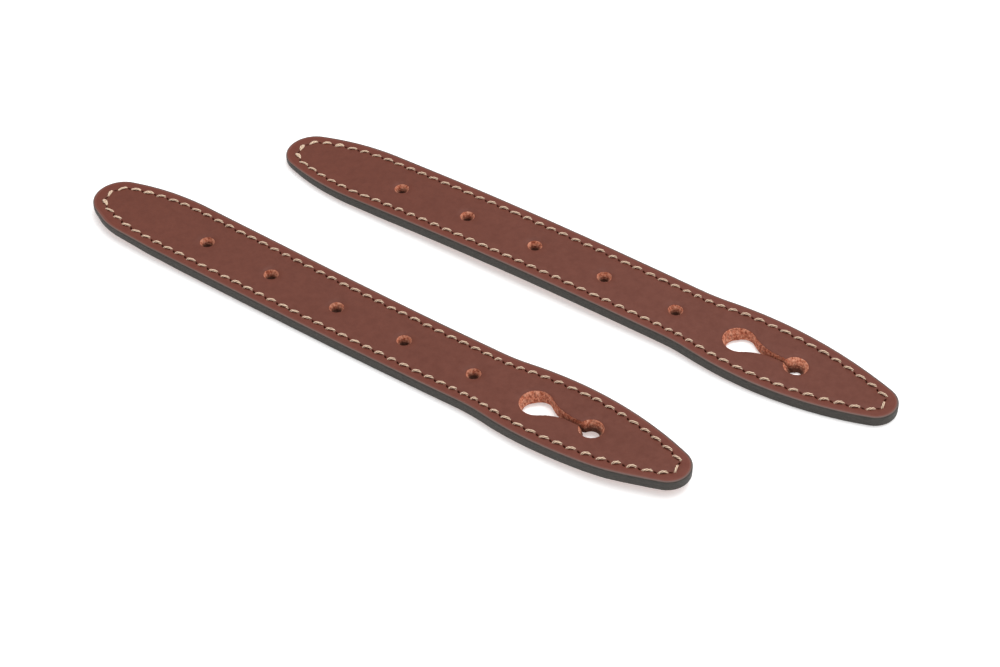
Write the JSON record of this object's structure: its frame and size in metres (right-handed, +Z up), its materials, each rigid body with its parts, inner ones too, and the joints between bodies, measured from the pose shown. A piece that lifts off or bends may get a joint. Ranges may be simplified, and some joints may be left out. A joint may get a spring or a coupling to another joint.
{
  "type": "leather fastening strap pair",
  "caption": "Flat stitched leather fastening straps for a bag, side by side, each with a row of adjusting holes and a leaf-shaped keyhole end for a ball stud.",
  "frame": {"origin": "centre of the pair's bounding box, on the surface that the linings lie on", "axes": "+X along the near strap towards its keyhole end, +Y from the near strap to the far one, +Z up through the leather"},
  "size_m": [0.2498, 0.0836, 0.0042],
  "materials": {
    "top_leather": "smooth semi-matt, fine grain, reddish brown",
    "lining_leather": "raw, slightly fibrous, orange brown",
    "edge_paint": "matt charcoal edge paint, burnished",
    "thread": "twisted beige thread"
  },
  "bodies": {
    "near_strap": {"near_top_leather": "top_leather", "near_lining_leather": "lining_leather", "near_edge_paint": "edge_paint", "near_needle_thread": "thread", "near_bobbin_thread": "thread"},
    "near_tab": {"near_top_leather_tab": "top_leather", "near_lining_leather_tab": "lining_leather"},
    "far_strap": {"far_top_leather": "top_leather", "far_lining_leather": "lining_leather", "far_edge_paint": "edge_paint", "far_needle_thread": "thread", "far_bobbin_thread": "thread"},
    "far_tab": {"far_top_leather_tab": "top_leather", "far_lining_leather_tab": "lining_leather"}
  },
  "joints": [
    {"name": "near_tab_flex", "type": "hinge", "parent": "near_strap", "child": "near_tab", "pos_m": [0.02793, -0.02807, 0.0034], "axis": [0, -1, 0], "range_deg": [0, 90], "stiffness_Nm_per_rad": 0.12, "deforming": ["near_edge_paint", "near_needle_thread", "near_bobbin_thread"]},
    {"name": "far_strap_lift", "type": "slide", "parent": "near_strap", "child": "far_strap", "axis": [0, 0, 1], "range_m": [0, 0.1]},
    {"name": "far_tab_flex", "type": "hinge", "parent": "far_strap", "child": "far_tab", "pos_m": [0.06177, 0.02777, 0.0034], "axis": [0.015, -0.9999, 0], "range_deg": [0, 90], "stiffness_Nm_per_rad": 0.12, "deforming": ["far_edge_paint", "far_needle_thread", "far_bobbin_thread"]}
  ]
}
